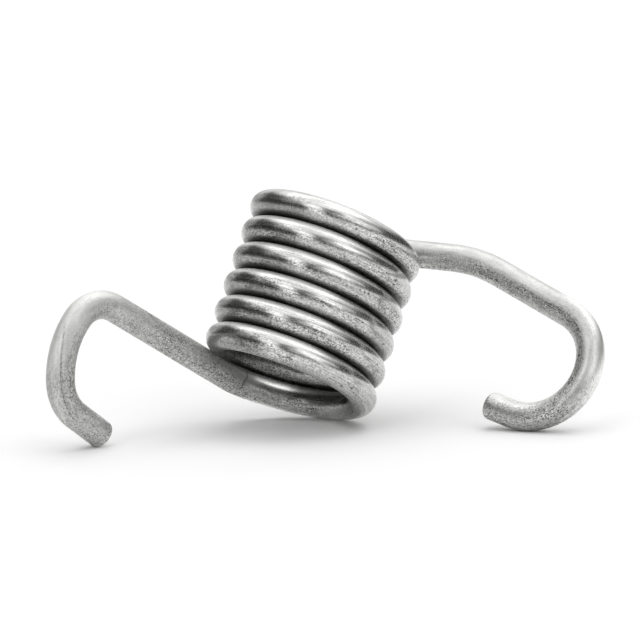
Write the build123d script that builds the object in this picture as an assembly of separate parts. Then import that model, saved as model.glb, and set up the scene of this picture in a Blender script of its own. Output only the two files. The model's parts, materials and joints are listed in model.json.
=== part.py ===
from build123d import *
from math import atan2, cos, degrees, pi, radians, sin
import os

# Lengths are in millimetres and angles in degrees.
# The spring is one round wire: a close-wound coil with an arm and a hook at each end.
# Radii of the coil and the bends are given on the inside, where a pin or a mandrel touches the wire.
wire_diameter = 3.0
end_rounding = 0.45

# The coil winds down left-handed, with a hair of air between one turn and the next.
coil_inside_diameter = 13.5
coil_turns = 6.2
turn_gap = 0.05

# The square hook is on the lower end of the coil: a slight heel bend, a long straight leg that
# rises a little, a corner, a bowed back, a second corner and a short straight end.
heel_inside_radius = 8.5
square_leg_rise = 3.2
square_leg_length = 17.4
corner_inside_radius = 2.5
corner_bend = 77.0
back_inside_radius = 7.8
back_bend = 44.5
end_corner_inside_radius = 2.85
end_corner_bend = 52.0
square_end_length = 4.3

# The round hook is on the upper end: a leg in line with the last turn, an easy bend
# downwards, a straight and then a wide C with a short straight end.
round_leg_length = 9.9
easy_inside_radius = 15.0
easy_bend = 21.4
round_straight_length = 10.0
round_hook_inside_radius = 4.65
round_hook_bend = 171.9
round_end_length = 2.8

# Sizes that follow from those above, measured along the middle of the wire.
wire_radius = wire_diameter / 2
coil_radius = coil_inside_diameter / 2 + wire_radius
pitch = wire_diameter + turn_gap
lead_angle = degrees(atan2(pitch, 2 * pi * coil_radius))


def straight(before, length):
    """A straight run that goes on from the end of the run before it."""
    return Line(before @ 1, before @ 1 + (before % 1) * length)


def bend(before, inside_radius, angle):
    """A bend down towards the foot of the coil that goes on from the run before it."""
    return JernArc(before @ 1, before % 1, inside_radius + wire_radius, -angle)


def arm_plane(point, heading):
    """The upright plane of an arm: its X is the arm's heading and its Y runs up along the coil."""
    return Plane(origin=point, x_dir=heading, z_dir=heading.cross(Vector(0, 0, 1)))


# The coil is drawn upright on the origin. Its lower end is at +X, and its upper end as many turns on.
coil = Edge.make_helix(pitch, pitch * coil_turns, coil_radius, lefthand=True)
top_angle = radians(-360 * coil_turns)
lower_end = Vector(coil_radius, 0, 0)
upper_end = Vector(coil_radius * cos(top_angle), coil_radius * sin(top_angle), pitch * coil_turns)

# Each arm is drawn flat, and starts along the slope of the turn that it leaves.
slope_down = Vector(cos(radians(lead_angle)), -sin(radians(lead_angle)))
slope_up = Vector(cos(radians(lead_angle)), sin(radians(lead_angle)))

heel = JernArc((0, 0), slope_down, heel_inside_radius + wire_radius, lead_angle + square_leg_rise)
square_leg = straight(heel, square_leg_length)
corner = bend(square_leg, corner_inside_radius, corner_bend)
back = bend(corner, back_inside_radius, back_bend)
end_corner = bend(back, end_corner_inside_radius, end_corner_bend)
square_end = straight(end_corner, square_end_length)

round_leg = Line((0, 0), slope_up * round_leg_length)
easy = bend(round_leg, easy_inside_radius, easy_bend)
round_straight = straight(easy, round_straight_length)
round_hook = bend(round_straight, round_hook_inside_radius, round_hook_bend)
round_end = straight(round_hook, round_end_length)

# Both arms leave the coil at a tangent and bend down in the plane of their leg and the coil's axis.
square_arm = arm_plane(lower_end, Vector(0, 1, 0)).location
round_arm = arm_plane(upper_end, Vector(sin(top_angle), -cos(top_angle), 0)).location
square_runs = [square_arm * run for run in (heel, square_leg, corner, back, end_corner, square_end)]
round_runs = [round_arm * run for run in (round_leg, easy, round_straight, round_hook, round_end)]

# The wire: one round section swept along the whole line, with the rims of both cut ends rounded.
middle_line = Wire([coil] + [run.edge() for run in square_runs + round_runs])
section = Plane(origin=middle_line @ 0, z_dir=middle_line % 0) * Circle(wire_radius)
wire = sweep(section, path=middle_line)
cut_rims = [face.outer_wire().edges()[0] for face in wire.faces().filter_by(GeomType.PLANE)]
wire = fillet(cut_rims, end_rounding)

# At rest the spring stands on three feet: the rounded rim of the square hook's cut end, the belly
# of the round hook and the lowest turn of the coil.
lowest_turn = coil.trim(0, 1 / coil_turns)
samples_along_run = 720
settling_rounds = 40


def foot_of_run(run, up):
    """The point where a run of wire meets a level table under it."""
    points = [run @ (step / samples_along_run) for step in range(samples_along_run + 1)]
    return min(points, key=lambda point: point.dot(up)) - up * wire_radius


def foot_of_tip(run, up):
    """The point where the rounded rim at the cut end of a run meets a level table under it."""
    tip_heading = run % 1
    across = (up - tip_heading * up.dot(tip_heading)).normalized()
    rim_centre = run @ 1 - tip_heading * end_rounding
    return rim_centre - across * (wire_radius - end_rounding) - up * end_rounding


# Which way is up decides where the feet are, and the feet decide which way is up, so both settle in rounds.
up = Vector(0, 0, 1)
for _ in range(settling_rounds):
    square_foot = foot_of_tip(square_runs[-1], up)
    round_foot = foot_of_run(round_runs[-2], up)
    coil_foot = foot_of_run(lowest_turn, up)
    up = (round_foot - square_foot).cross(coil_foot - square_foot).normalized()

# The table: +Z is up, and +X runs from the square hook's foot to the round hook's.
table = Plane(origin=square_foot, x_dir=round_foot - square_foot, z_dir=up)
standing = table.to_local_coords(wire)
box = standing.bounding_box()
spring = Pos(-box.center().X, -box.center().Y, -box.min.Z) * standing

os.makedirs("parts", exist_ok=True)
export_step(spring, "parts/footpeg_spring.step")
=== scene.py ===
import json
from math import atan2, cos, hypot, pi, radians, sin

import bmesh
import bpy
from mathutils import Matrix, Quaternion, Vector


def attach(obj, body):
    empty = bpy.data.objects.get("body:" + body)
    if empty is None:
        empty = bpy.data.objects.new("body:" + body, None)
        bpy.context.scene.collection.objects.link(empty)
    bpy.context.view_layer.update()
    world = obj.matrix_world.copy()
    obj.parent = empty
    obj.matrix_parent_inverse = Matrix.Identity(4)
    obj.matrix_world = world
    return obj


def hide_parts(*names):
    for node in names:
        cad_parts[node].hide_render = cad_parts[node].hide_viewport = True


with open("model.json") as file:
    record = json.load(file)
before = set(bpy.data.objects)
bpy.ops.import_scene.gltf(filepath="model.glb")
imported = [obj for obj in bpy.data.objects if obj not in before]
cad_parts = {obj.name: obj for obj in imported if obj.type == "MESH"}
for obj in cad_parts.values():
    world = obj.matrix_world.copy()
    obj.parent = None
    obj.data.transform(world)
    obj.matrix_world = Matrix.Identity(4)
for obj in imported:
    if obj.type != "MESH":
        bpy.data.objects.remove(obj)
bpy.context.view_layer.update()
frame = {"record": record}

# Lengths are in metres. The spring is first made on the bench, with its coil upright round +Z and the
# coil's lower end at +X, and is set down on the table when its shape is done.

# The coil: six turns and a fifth of hard-drawn round steel wire, wound cold and close round a mandrel.
# It winds down left-handed, and its turns lie side by side with a hair of air between them.
wire_radius = 0.0015
coil_inside_radius = 0.00675
coil_turns = 6.2
turn_gap = 0.00005

coil_radius = coil_inside_radius + wire_radius
pitch = 2 * wire_radius + turn_gap
lead_angle = atan2(pitch, 2 * pi * coil_radius)
facets_round_wire = 48
rings_per_turn = 90

bpy.ops.object.select_all(action="DESELECT")
bpy.ops.mesh.primitive_circle_add(
    vertices=facets_round_wire,
    radius=wire_radius,
    location=(coil_radius, 0, 0),
    rotation=(radians(90) - lead_angle, 0, 0),
)
spring = bpy.context.object
spring.name = "footpeg_spring_wire"
bpy.ops.object.transform_apply(location=True, rotation=True, scale=True)

winding = spring.modifiers.new("winding", "SCREW")
winding.axis = "Z"
winding.angle = -2 * pi * coil_turns
winding.screw_offset = pitch * coil_turns
winding.steps = winding.render_steps = round(rings_per_turn * coil_turns)
bpy.ops.object.modifier_apply(modifier="winding")


# The square hook, on the lower end of the coil. The wire leaves the coil over a slight heel bend into a
# long straight leg, and is bent down round two small pins with a bowed back between them.
heel_inside_radius = 0.0085
square_leg_rise = radians(3.2)
square_leg_length = 0.0174
corner_inside_radius = 0.0025
corner_bend = radians(77)
back_inside_radius = 0.0078
back_bend = radians(44.5)
end_corner_inside_radius = 0.00285
end_corner_bend = radians(52)
square_end_length = 0.0043
end_rounding = 0.00045

ring_spacing = 0.0008
degrees_per_ring = radians(3)
rings_on_rim = 7
held_within = 0.000001


def hold_end(middle, heading):
    """Selects the open end of the wire: the ring square to its heading at that middle."""
    bpy.ops.mesh.select_all(action="DESELECT")
    shape = bmesh.from_edit_mesh(spring.data)
    for vertex in shape.verts:
        reach = vertex.co - middle
        on_ring = reach.length < wire_radius + held_within
        vertex.select = on_ring and abs(reach.dot(heading)) < held_within
    shape.select_flush(True)
    bmesh.update_edit_mesh(spring.data)


def pull(middle, heading, length):
    """Draws the held end straight out, ring by ring, and returns where it is now."""
    rings = max(1, round(length / ring_spacing))
    for _ in range(rings):
        bpy.ops.mesh.extrude_region_move(TRANSFORM_OT_translate={"value": heading * length / rings})
    return middle + heading * length, heading


def bend(middle, heading, pin, inside_radius, angle):
    """Bends the held end round a pin, down for a positive angle, and returns where it is now."""
    side = pin.cross(heading) * (1 if angle > 0 else -1)
    pin_place = middle + side * (inside_radius + wire_radius)
    rings = max(1, round(abs(angle) / degrees_per_ring))
    bpy.ops.mesh.spin(steps=rings, angle=-angle, center=pin_place, axis=pin)
    turn = Quaternion(pin, angle)
    return pin_place + turn @ (middle - pin_place), turn @ heading


def round_off(middle, heading):
    """Rounds the rim of the cut end over and closes the end with a flat face."""
    flat_radius = wire_radius - end_rounding
    ring_radius, ring_reach = wire_radius, 0
    for ring in range(1, rings_on_rim + 1):
        lean = radians(90) * ring / rings_on_rim
        reach = end_rounding * sin(lean)
        radius = flat_radius + end_rounding * cos(lean)
        bpy.ops.mesh.extrude_region_move(TRANSFORM_OT_translate={"value": heading * (reach - ring_reach)})
        shrink = radius / ring_radius
        bpy.ops.transform.resize(value=(shrink, shrink, shrink), center_override=middle + heading * reach)
        ring_radius, ring_reach = radius, reach
    bpy.ops.mesh.edge_face_add()


up = Vector((0, 0, 1))
lower_end = Vector((coil_radius, 0, 0))
square_way = Vector((0, 1, 0))
square_pin = up.cross(square_way)
slope_down = square_way * cos(lead_angle) - up * sin(lead_angle)

bpy.ops.object.mode_set(mode="EDIT")
bpy.ops.mesh.select_mode(type="VERT")
hold_end(lower_end, slope_down)
place = bend(lower_end, slope_down, square_pin, heel_inside_radius, -lead_angle - square_leg_rise)
place = pull(*place, square_leg_length)
place = bend(*place, square_pin, corner_inside_radius, corner_bend)
place = bend(*place, square_pin, back_inside_radius, back_bend)
place = bend(*place, square_pin, end_corner_inside_radius, end_corner_bend)
place = pull(*place, square_end_length - end_rounding)
round_off(*place)
square_tip = place[0]


# The round hook, on the upper end of the coil. A leg runs on in line with the last turn, bends easily
# down, and ends in a wide C bent round one pin, with a short straight stub.
round_leg_length = 0.0099
easy_inside_radius = 0.015
easy_bend = radians(21.4)
round_straight_length = 0.010
round_hook_inside_radius = 0.00465
round_hook_bend = radians(171.9)
round_end_length = 0.0028
merged_within = 0.0000001

top_angle = -2 * pi * coil_turns
upper_end = Vector((coil_radius * cos(top_angle), coil_radius * sin(top_angle), pitch * coil_turns))
round_way = Vector((sin(top_angle), -cos(top_angle), 0))
round_pin = up.cross(round_way)
slope_up = round_way * cos(lead_angle) + up * sin(lead_angle)

hold_end(upper_end, slope_up)
place = pull(upper_end, slope_up, round_leg_length)
place = bend(*place, round_pin, easy_inside_radius, easy_bend)
place = pull(*place, round_straight_length)
place = bend(*place, round_pin, round_hook_inside_radius, round_hook_bend)
place = pull(*place, round_end_length - end_rounding)
round_off(*place)

bpy.ops.mesh.select_all(action="SELECT")
bpy.ops.mesh.remove_doubles(threshold=merged_within)
bpy.ops.mesh.normals_make_consistent(inside=False)
bpy.ops.object.mode_set(mode="OBJECT")
bpy.ops.object.shade_smooth()


# The way along the wire, from the square tip to the round one, as if the wire were still a straight bar.
# Its finish reads it, because the marks of drawing run along the wire round every bend.
shape = bmesh.new()
shape.from_mesh(spring.data)
way_along = shape.verts.layers.float_vector.new("way_along_wire")
way_round = shape.verts.layers.float_vector.new("way_round_wire")
cut_ends = [face for face in shape.faces if len(face.verts) == facets_round_wire]
first_cut = min(cut_ends, key=lambda face: (face.calc_center_median() - square_tip).length)

rings = [[vertex for vertex in first_cut.verts]]
seen = set(rings[0])
while True:
    next_ring = [edge.other_vert(vertex) for vertex in rings[-1] for edge in vertex.link_edges
                 if edge.other_vert(vertex) not in seen]
    if not next_ring:
        break
    seen.update(next_ring)
    rings.append(next_ring)

middles = [sum((vertex.co for vertex in ring), Vector()) / facets_round_wire for ring in rings]
at_coil = min(range(len(rings)), key=lambda ring: (middles[ring] - lower_end).length)
section_up = up * cos(lead_angle) + square_way * sin(lead_angle)
travelled = 0
for number, ring in enumerate(rings):
    before, after = middles[max(number - 1, 0)], middles[min(number + 1, len(rings) - 1)]
    travelled += (middles[number] - before).length
    heading = (after - before).normalized()
    for facet, vertex in enumerate(ring):
        spoke = vertex.co - middles[number]
        at_lower_end = (rings[at_coil][facet].co - middles[at_coil]) * spoke.length / wire_radius
        vertex[way_along] = (at_lower_end.x, at_lower_end.dot(section_up), travelled)
        vertex[way_round] = heading.cross(spoke).normalized()
shape.to_mesh(spring.data)
shape.free()

# The spring is set down on the table: the record says where the coil's axis runs and which way its lower
# end lies.
mounts = {mount["name"]: mount for mount in frame["record"]["mounts"]}
coil_axis = Vector(mounts["coil_bore"]["axis"]).normalized()
lower_end_way = -Vector(mounts["square_hook"]["axis"])
lower_end_way = (lower_end_way - coil_axis * lower_end_way.dot(coil_axis)).normalized()
third_way = coil_axis.cross(lower_end_way)
bench_to_table = Matrix((lower_end_way, third_way, coil_axis)).transposed()
coil_foot = Vector(mounts["coil_bore"]["pos_m"]) - coil_axis * pitch * coil_turns / 2
spring.matrix_world = Matrix.Translation(coil_foot) @ bench_to_table.to_4x4()
bpy.ops.object.transform_apply(location=True, rotation=True, scale=True)
for way in spring.data.attributes["way_round_wire"].data:
    way.vector = bench_to_table @ Vector(way.vector)

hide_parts("footpeg_spring")
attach(spring, "root")


# The finish of the wire: bare drawn steel, satin grey. Drawing has left fine lines along it, and heat and
# handling a peppering of tiny dark pits, small flat flecks and paler rubbed grains.
finish = bpy.data.materials.new("drawn_spring_steel")
finish.use_nodes = True
nodes, links = finish.node_tree.nodes, finish.node_tree.links
steel = nodes["Principled BSDF"]


def add_node(kind, sockets, **settings):
    """Adds a node to the tree in hand. Each socket takes a plain value or another node's output."""
    node = nodes.new("ShaderNode" + kind)
    for name, value in settings.items():
        setattr(node, name, value)
    for name, value in sockets.items():
        if isinstance(value, bpy.types.NodeSocket):
            links.new(value, node.inputs[name])
        else:
            node.inputs[name].default_value = value
    return node


def compute(operation, *values):
    """One plain calculation with one value or two."""
    return add_node("Math", dict(enumerate(values)), operation=operation).outputs[0]


def times(first, *others):
    """The product of all the values."""
    for other in others:
        first = compute("MULTIPLY", first, other)
    return first


def plus(first, *others):
    """The sum of all the values."""
    for other in others:
        first = compute("ADD", first, other)
    return first


def minus(first, second):
    """The first value less the second."""
    return compute("SUBTRACT", first, second)


def larger(first, second):
    """The larger one of two values."""
    return compute("MAXIMUM", first, second)


def between(value, low, high, at_low=0.0, at_high=1.0):
    """A smooth step from at_low, where the value is low, to at_high, where it is high."""
    step = add_node("MapRange", {"Value": value, "From Min": low, "From Max": high, "To Min": at_low,
                                 "To Max": at_high}, interpolation_type="SMOOTHSTEP")
    return step.outputs["Result"]


def factor_on(mark, factor):
    """1 where the mark isn't, and that factor where it is."""
    return between(mark, 0, 1, 1.0, factor)


along_wire = add_node("Attribute", {}, attribute_name="way_along_wire").outputs["Vector"]
round_wire = add_node("Attribute", {}, attribute_name="way_round_wire").outputs["Vector"]


def drawn_out(size, length):
    """The place on the wire, squeezed lengthwise so that a pattern's grains come out longer than wide."""
    squeeze = (1, 1, size / length)
    return add_node("VectorMath", {0: along_wire, 1: squeeze}, operation="MULTIPLY").outputs[0]


def grain(size, length, detail, harshness):
    """A mottle whose grains are size wide round the wire and length long along it."""
    noise = add_node("TexNoise", {"Vector": drawn_out(size, length), "Scale": 1 / size, "Detail": detail,
                                  "Roughness": harshness})
    return noise.outputs["Fac"]


def flecks(size, length):
    """A close pattern of small flat flecks, each of its own shade."""
    cells = add_node("TexVoronoi", {"Vector": drawn_out(size, length), "Scale": 1 / size})
    return add_node("SeparateColor", {"Color": cells.outputs["Color"]}).outputs["Red"]


# A place on the wire is given by three values. On the coil, outward is how far it lies from the wire's
# middle, away from the coil's axis, and upward how far up along it, both in wire radii. Travelled is how
# far it lies along the wire from the square tip, in metres.
section = add_node("SeparateXYZ", {0: along_wire}).outputs
outward = times(section["X"], 1 / wire_radius)
upward = times(section["Y"], 1 / wire_radius)
travelled = section["Z"]

# Where along the wire the coil starts and ends, and how many turns have been wound since its start.
coil_start = sum((middles[ring + 1] - middles[ring]).length for ring in range(at_coil))
turn_length = hypot(2 * pi * coil_radius, pitch)
coil_finish = coil_start + turn_length * coil_turns
turns_wound = times(minus(travelled, coil_start), 1 / turn_length)

# Stretches of the wire with a look of their own, in metres from the square tip. Each fades in between its
# first two places and out between its last two. The last three have one fade only.
bowed_back = (0.0040, 0.0055, 0.0125, 0.0150)
square_corner = (0.0075, 0.0120, 0.0190, 0.0240)
# The painted glint and the painted shade inside the lowest turn lie on these two stretches.
painted_glint_stretch = (0.0400, 0.0420, 0.0450, 0.0464)
painted_shade_patch_stretch = (0.0456, 0.0476, 0.0560, 0.0660)
rubbed_stretch = (coil_start, coil_start + 0.004, coil_finish - 0.003, coil_finish + 0.003)
square_arm_fade = (coil_start - 0.006, coil_start + 0.002)
round_bend_fade = (0.384, 0.388)
stub_fade = (0.395, 0.401)
full_share = 0.3


def on_stretch(start, full, fading, end):
    """1 along a stretch of the wire, from full to fading, and 0 before its start and past its end."""
    return times(between(travelled, start, full), between(travelled, fading, end, 1, 0))


def near_side(share, reach):
    """1 on the side of the coil at that share of each turn, and 0 from reach on, which is a share too. It
    is full over full_share of the reach."""
    nearness = compute("COSINE", times(minus(turns_wound, share), 2 * pi))
    return between(nearness, cos(2 * pi * reach), cos(2 * pi * reach * full_share))


# The mandrel and the pin have rubbed the coil smoother and darker than the arms, which are pale. The
# square hook's arm is the dullest.
rubbed_coil = on_stretch(*rubbed_stretch)
arms = minus(1.0, rubbed_coil)
square_arm = between(travelled, *square_arm_fade, 1, 0)
on_corner = on_stretch(*square_corner)
stub = between(travelled, *stub_fade)
off_stub = minus(1.0, stub)

# The grooves between the turns and the inside of the coil are darkened with painted shade and made a little
# rougher. The upper side of each turn, rubbed by the next one, is rougher and has a painted highlight. On
# one side of the coil the lower half of each turn is darkened with painted shade.
painted_under_turn_shade = times(between(upward, -0.56, -0.95), between(turns_wound, 0.85, 1.05))
inside_coil = between(outward, 0.10, -0.70)
painted_groove_shade = times(larger(painted_under_turn_shade, times(inside_coil, 0.45)), rubbed_coil)
has_next_turn = between(turns_wound, coil_turns - 1.05, coil_turns - 0.95, 1, 0)
# The upper sides of the turns carry a painted highlight, weaker on one side of the coil, and are also
# rougher.
bare_and_highlit_top = times(between(upward, 0.35, 0.80), rubbed_coil, has_next_turn)
bare_and_highlit_top = times(bare_and_highlit_top, factor_on(near_side(0.46, 0.15), 0.3))
# Painted shade on the lower half of each turn on one side of the coil.
painted_shade_side = times(near_side(0.75, 0.115), between(upward, 0.05, -0.25), rubbed_coil)

# How much of the speckle shows: most on the lower half of the wire, on two sides of the coil and on the
# square hook's arm, apart from its corner. The coil's upper half, where the highlights lie, is embossed
# the least.
smooth_crown = times(rubbed_coil, between(upward, -0.10, 0.30))
roughened = between(upward, -0.30, 0.15, 1.0, 0.20)
embossed = larger(times(roughened, factor_on(smooth_crown, 0.4)), times(square_arm, 0.8))
roughened = larger(roughened, times(near_side(0.42, 0.13), rubbed_coil, 0.50))
rough_patch = times(near_side(0.755, 0.12), between(upward, 0.15, 0.60, 0.9, 0.20), rubbed_coil)
roughened = larger(roughened, rough_patch)
clean_corner = times(on_corner, between(upward, 0.0, 0.45, 0, 0.6))
roughened = larger(roughened, times(square_arm, minus(0.8, clean_corner)))
rough_stub = times(between(upward, -0.60, -0.10, 0.35, 1.0), stub)
roughened = plus(times(roughened, off_stub), rough_stub)

# The patterns in the steel, from specks of a tenth of a millimetre to clouds and worn patches of some
# millimetres. Pepper, fine and draw_lines are below 0 where they darken and above 0 where they pale. Cloud
# is a factor round 1, and the others go from 0 to 1.
pits = between(grain(0.00012, 0.00016, 2.0, 0.7), 0.57, 0.64)
rubbed = between(grain(0.00015, 0.00030, 2.0, 0.7), 0.55, 0.67)
pepper = between(grain(0.00013, 0.00019, 2.0, 0.7), 0.38, 0.62, -1.0, 1.0)
fine = between(flecks(0.00013, 0.00018), 0.0, 1.0, -1.0, 0.65)
draw_lines = between(grain(0.00013, 0.005, 2.0, 0.6), 0.36, 0.64, -1.0, 1.0)
worn_patches = between(grain(0.0020, 0.006, 2.0, 0.5), 0.40, 0.62)
scratches = times(between(grain(0.00016, 0.0026, 3.0, 0.6), 0.54, 0.66), worn_patches)
cloud = between(grain(0.0010, 0.0034, 3.0, 0.6), 0.3, 0.7, 0.86, 1.12)

# The shade of each place is about 1 on clean wire. The patterns add to it or take from it, and each mark
# is a factor on it.
speckle = plus(times(pepper, 0.13), times(fine, 0.25), times(rubbed, 0.06))
speckle = minus(speckle, times(pits, 0.55))
speckle = minus(speckle, times(scratches, 0.24))
speckle = times(speckle, between(worn_patches, 0, 1, 0.70, 1.25), between(rubbed_coil, 0, 1, 1.3, 1.15))
speckle = times(speckle, roughened, between(on_corner, 0, 1, 1.05, 0.65))
lined = times(larger(worn_patches, near_side(0.46, 0.18)), rubbed_coil)
lines = times(draw_lines, between(lined, 0, 1, 0.03, 0.15))
# The painted highlight on the turns' upper sides is added here.
shade = plus(cloud, speckle, lines, times(bare_and_highlit_top, 0.62))
# Painted shade darkens the grooves, the inside of the coil and one side of the coil here.
shade = times(shade, factor_on(painted_groove_shade, 0.18), factor_on(painted_shade_side, 0.56))

# The lower half of every turn but the first is darkened a touch with painted shade, and the coil's underside
# where the coil starts is lightened with painted light.
painted_lower_shade = times(between(upward, 0.20, -0.20), rubbed_coil, between(turns_wound, 0.9, 1.2))
painted_belly_light = times(between(upward, -0.30, -0.65), rubbed_coil, between(turns_wound, 0.22, 0.36, 1, 0))
shade = times(shade, factor_on(painted_lower_shade, 0.95), factor_on(painted_belly_light, 1.75))

# Inside the lowest turn a short stretch carries a painted glint, and the wire beyond it painted shade.
painted_glint = times(on_stretch(*painted_glint_stretch), between(upward, 0.05, 0.40), inside_coil)
painted_shade_patch = times(on_stretch(*painted_shade_patch_stretch), between(upward, -0.60, -0.10), inside_coil)
shade = times(shade, factor_on(painted_glint, 1.45), factor_on(painted_shade_patch, 0.50))

# The nicks that it has picked up. Each is given by its angle round the wire, up from its outer side, in
# degrees, its place along the wire, its size, and how dark it is.
for angle, along, size, darkness in (
    (-14, 0.22250, 0.00010, 0.8),
    (-12, 0.22205, 0.00012, 0.8),
    (-15, 0.22300, 0.00009, 0.8),
    (-27, 0.32892, 0.00014, 0.6),
    (-15, 0.27127, 0.00015, 0.7),
    (14, 0.32124, 0.00014, 0.6),
    (-44, 0.07134, 0.00013, 0.6),
    (-34, 0.16582, 0.00015, 0.7),
    (-4, 0.11418, 0.00013, 0.6),
    (75, 0.06565, 0.00022, 0.9),
    (-52, 0.06560, 0.00016, 0.6),
    (-37, 0.06450, 0.00014, 0.6),
):
    nick_place = (wire_radius * cos(radians(angle)), wire_radius * sin(radians(angle)), along)
    from_nick = add_node("VectorMath", {0: along_wire, 1: nick_place}, operation="DISTANCE").outputs["Value"]
    nick = between(from_nick, 0.5 * size, 1.5 * size, darkness, 0.0)
    shade = times(shade, minus(1.0, nick))

# A bending tool has left a dark line across the inner side of the wire where the coil starts.
tool_lean = (coil_start - 0.0001, coil_start + 0.0003)
tool_edge = (0.00007, 0.00028)
from_tool = compute("ABSOLUTE", minus(travelled, between(upward, -0.1, 0.5, *tool_lean)))
tool_line = times(between(from_tool, *tool_edge, 0.42, 0.0), between(outward, -0.55, -0.80))
tool_line = times(tool_line, between(upward, -0.85, -0.45))
shade = times(shade, minus(1.0, tool_line))

# Along the bowed back of the square hook runs a thin dark seam that climbs at both ends. Over the seam the
# wire is lightened with painted highlight, and under it darkened with painted shade.
seam_middle = 0.0075
seam_bend_radius = 0.0385
seam_lowest = 0.55
seam_edge = (0.013, 0.080)
from_middle = minus(travelled, seam_middle)
seam_height = times(from_middle, from_middle, 1 / (2 * seam_bend_radius * wire_radius))
over_seam = minus(upward, plus(seam_height, seam_lowest))
on_back = times(on_stretch(*bowed_back), between(outward, 0.0, -0.3))
seam = times(between(compute("ABSOLUTE", over_seam), *seam_edge, 0.36, 0.0), on_back)
seam = times(seam, between(pepper, -1.0, 0.6, 1.3, 0.5))
shade = times(shade, minus(1.0, seam))
# Painted highlight over the seam and painted shade under it.
shade = plus(shade, times(between(over_seam, 0.0, 0.067, -0.09, 0.06), on_back))

# The outer sides of the square hook's corner and of the round hook's bend carry painted highlight, and the
# rest of the arms' outer sides a touch of painted shade. On the round hook's stub the inner side of the bend
# has the painted highlight and the other side painted shade.
wire_tone = 0.60
dull_arm_loss = 0.07
blue_share = 0.978
painted_outer_side_light = times(between(upward, 0.1, 0.9), arms, between(on_corner, 0, 1, -0.04, 0.30))
painted_bend_highlight = times(between(travelled, *round_bend_fade), between(upward, 0.55, 0.98, 0, 0.4))
painted_stub_light_and_shade = times(between(upward, -0.50, 0.20, 0.25, -0.18), stub)
painted_side_light = plus(times(plus(painted_outer_side_light, painted_bend_highlight), off_stub), painted_stub_light_and_shade)
tone = times(minus(wire_tone, times(square_arm, dull_arm_loss)), shade, plus(1.0, painted_side_light))
colour = add_node("CombineColor", {"Red": tone, "Green": tone, "Blue": times(tone, blue_share)})
links.new(colour.outputs["Color"], steel.inputs["Base Color"])

# The rubbed coil is the glossiest. Pits, the grooves and the rubbed upper sides of the turns scatter more
# light.
roughness = plus(
    between(rubbed_coil, 0, 1, 0.37, 0.20),
    times(square_arm, 0.08),
    times(pits, 0.18),
    times(pepper, -0.03),
    times(painted_groove_shade, 0.15),
    times(bare_and_highlit_top, 0.30),
)
links.new(roughness, steel.inputs["Roughness"])

# The marks stand a few thousandths of a millimetre out of the surface or into it.
relief_depth = 0.0000024
relief = minus(times(pepper, 0.6), times(pits, 0.8))
relief = minus(plus(relief, times(fine, 0.25)), times(scratches, 0.6))
relief = times(plus(relief, times(draw_lines, 0.25)), embossed)
bump = add_node("Bump", {"Strength": 1.0, "Distance": relief_depth, "Height": relief})
links.new(bump.outputs["Normal"], steel.inputs["Normal"])

# Drawing has left the steel brushed along its length. The square hook's arm is the least bare of its scale.
links.new(round_wire, steel.inputs["Tangent"])
steel.inputs["Anisotropic"].default_value = 0.3
bare_steel = minus(between(rubbed_coil, 0, 1, 0.85, 1.0), times(square_arm, 0.45))
links.new(bare_steel, steel.inputs["Metallic"])

spring.data.materials.clear()
spring.data.materials.append(finish)


# The table is a wide pale sheet, level under the spring, that takes its shadow.
table_width = 8.0
table_tone = 0.94
bpy.ops.object.select_all(action="DESELECT")
bpy.ops.mesh.primitive_plane_add(size=table_width, location=(0, 0, 0))
table = bpy.context.object
table.name = "table_sheet"
table_finish = bpy.data.materials.new("pale_sheet")
table_finish.use_nodes = True
sheet = table_finish.node_tree.nodes["Principled BSDF"]
sheet.inputs["Base Color"].default_value = (table_tone, table_tone, table_tone, 1)
sheet.inputs["Roughness"].default_value = 0.9
sheet.inputs["Specular IOR Level"].default_value = 0.1
table.data.materials.append(table_finish)


# The light is that of a tent of dim white cloth, paler near the table, with soft round panels let into it:
# a broad one overhead, strong ones to the left and right of the camera, and weaker ones all round. From
# here on the nodes are the tent's.
studio = bpy.data.worlds.new("soft_tent")
bpy.context.scene.world = studio
studio.use_nodes = True
nodes, links = studio.node_tree.nodes, studio.node_tree.links
tent = nodes["Background"]

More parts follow.
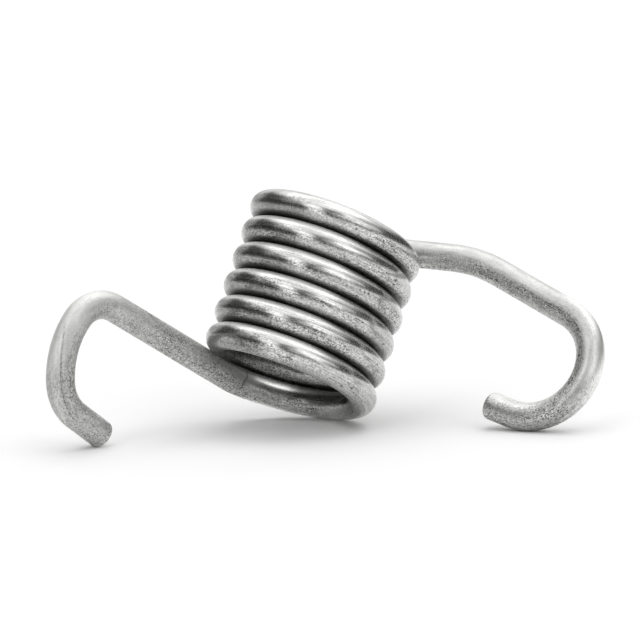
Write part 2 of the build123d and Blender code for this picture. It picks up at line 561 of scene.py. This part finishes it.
dim_cloth = 0.08
low_cloth = 0.45
low_cloth_from = radians(1)
low_cloth_to = radians(6)
seen_way = add_node("TexCoord", {}).outputs["Generated"]
seen_way = add_node("VectorMath", {0: seen_way}, operation="NORMALIZE").outputs[0]
seen_rise = add_node("SeparateXYZ", {0: seen_way}).outputs["Z"]


def panel(side, height, full, end, strength):
    """A soft round panel. Side is measured from the camera to the right and height from the table, and its
    light is full up to one angle from its middle and ends at another, all in degrees."""
    side, height = radians(side), radians(height)
    middle = (sin(side) * cos(height), -cos(side) * cos(height), sin(height))
    nearness = add_node("VectorMath", {0: seen_way, 1: middle}, operation="DOT_PRODUCT").outputs["Value"]
    return between(nearness, cos(radians(end)), cos(radians(full)), 0, strength)


light = plus(
    between(seen_rise, sin(low_cloth_from), sin(low_cloth_to), low_cloth, dim_cloth),
    panel(0, 90, 26, 48, 1.20),
    panel(92, 62, 8, 30, 0.66),
    panel(-155, 58, 8, 26, 0.78),
    panel(84, 44, 6, 24, 0.40),
    panel(-36, 13, 5, 15, 1.90),
    panel(-36, 38, 4, 18, 1.80),
    panel(36, 15, 5, 16, 0.85),
    panel(36, 34, 6, 22, 1.60),
    panel(60, 22, 4, 15, 0.85),
    panel(12, 26, 6, 22, 0.75),
    panel(172, 30, 14, 36, 0.92),
    panel(132, 44, 8, 30, 0.80),
    panel(-150, 12, 6, 24, 0.40),
    panel(-72, 42, 6, 26, 0.35),
)
links.new(light, tent.inputs["Strength"])
tent.inputs["Color"].default_value = (1, 1, 1, 1)


# The camera stands in front of the open side of the hooks, a little above the table, with a long lens.
view_side = radians(-1.273)
view_height = radians(7.617)
view_roll = radians(-1.925)
view_distance = 0.33383
aim = Vector((-0.000328, 0.000129, 0.011322))

back_way = Vector((sin(view_side) * cos(view_height), -cos(view_side) * cos(view_height), sin(view_height)))
bpy.ops.object.camera_add(location=aim + back_way * view_distance)
camera = bpy.context.object
camera.name = "camera"
camera.rotation_mode = "QUATERNION"
camera.rotation_quaternion = back_way.to_track_quat("Z", "Y") @ Quaternion((0, 0, 1), view_roll)
camera.data.sensor_width = 36
camera.data.lens = 175.23
camera.data.clip_start = 0.01
camera.data.clip_end = 50
bpy.context.scene.camera = camera
bpy.context.scene.view_settings.view_transform = "Standard"
